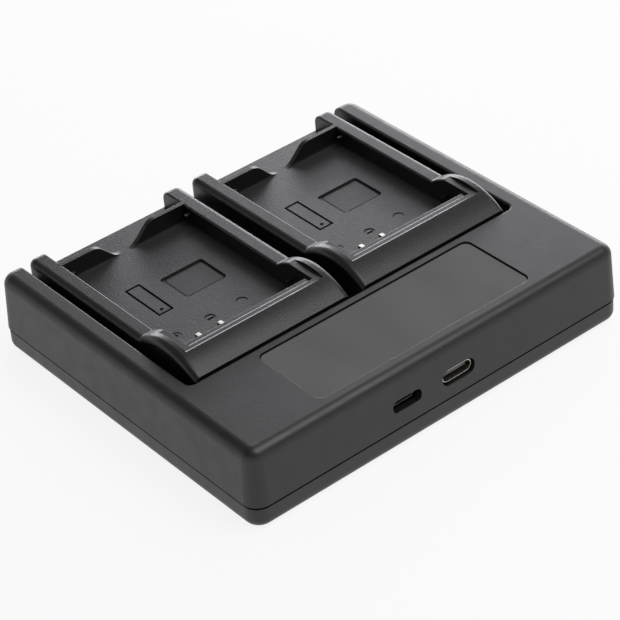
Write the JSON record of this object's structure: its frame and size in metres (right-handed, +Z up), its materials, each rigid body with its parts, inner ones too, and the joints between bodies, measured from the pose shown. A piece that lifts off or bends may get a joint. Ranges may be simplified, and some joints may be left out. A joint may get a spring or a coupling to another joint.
{
  "type": "camera battery charger",
  "caption": "Flat desktop charger for camera batteries: drafted housing, side-by-side battery trays with arched contact humps, smoked display window and sockets in the front wall.",
  "frame": {"origin": "centre of the footprint on the surface the charger stands on", "axes": "+X along the long front wall, to the right when facing the sockets; -Y towards the sockets; +Z up"},
  "size_m": [0.113, 0.0982, 0.025],
  "materials": {
    "case_plastic": "fine-grained black ABS",
    "plate_plastic": "fine-grained black ABS",
    "window_plastic": "smoked clear sheet, polished",
    "contact_metal": "plated spring strip",
    "socket_metal": "plated stamped steel",
    "socket_plastic": "black moulding",
    "board": "green solder mask",
    "display_glass": "clear display cell",
    "backlight_plastic": "white moulding",
    "chip_plastic": "black moulding",
    "ferrite": "dark grey ferrite",
    "capacitor_can": "drawn can",
    "screw_steel": "zinc plated"
  },
  "bodies": {
    "root": {"upper_shell": "case_plastic", "lower_cover": "case_plastic", "left_battery_plate": "plate_plastic", "right_battery_plate": "plate_plastic", "left_contact_a": "contact_metal", "left_contact_b": "contact_metal", "right_contact_a": "contact_metal", "right_contact_b": "contact_metal", "display_window": "window_plastic", "usb_c_shell": "socket_metal", "usb_c_tongue": "socket_plastic", "micro_usb_shell": "socket_metal", "micro_usb_tongue": "socket_plastic", "main_board": "board", "lcd_glass": "display_glass", "backlight_holder": "backlight_plastic", "lcd_pins": "socket_metal", "left_charge_ic": "chip_plastic", "right_charge_ic": "chip_plastic", "controller_ic": "chip_plastic", "left_inductor": "ferrite", "right_inductor": "ferrite", "left_capacitor": "capacitor_can", "right_capacitor": "capacitor_can", "case_screws": "screw_steel", "board_screws": "screw_steel", "left_plate_screws": "screw_steel", "right_plate_screws": "screw_steel"}
  },
  "joints": []
}
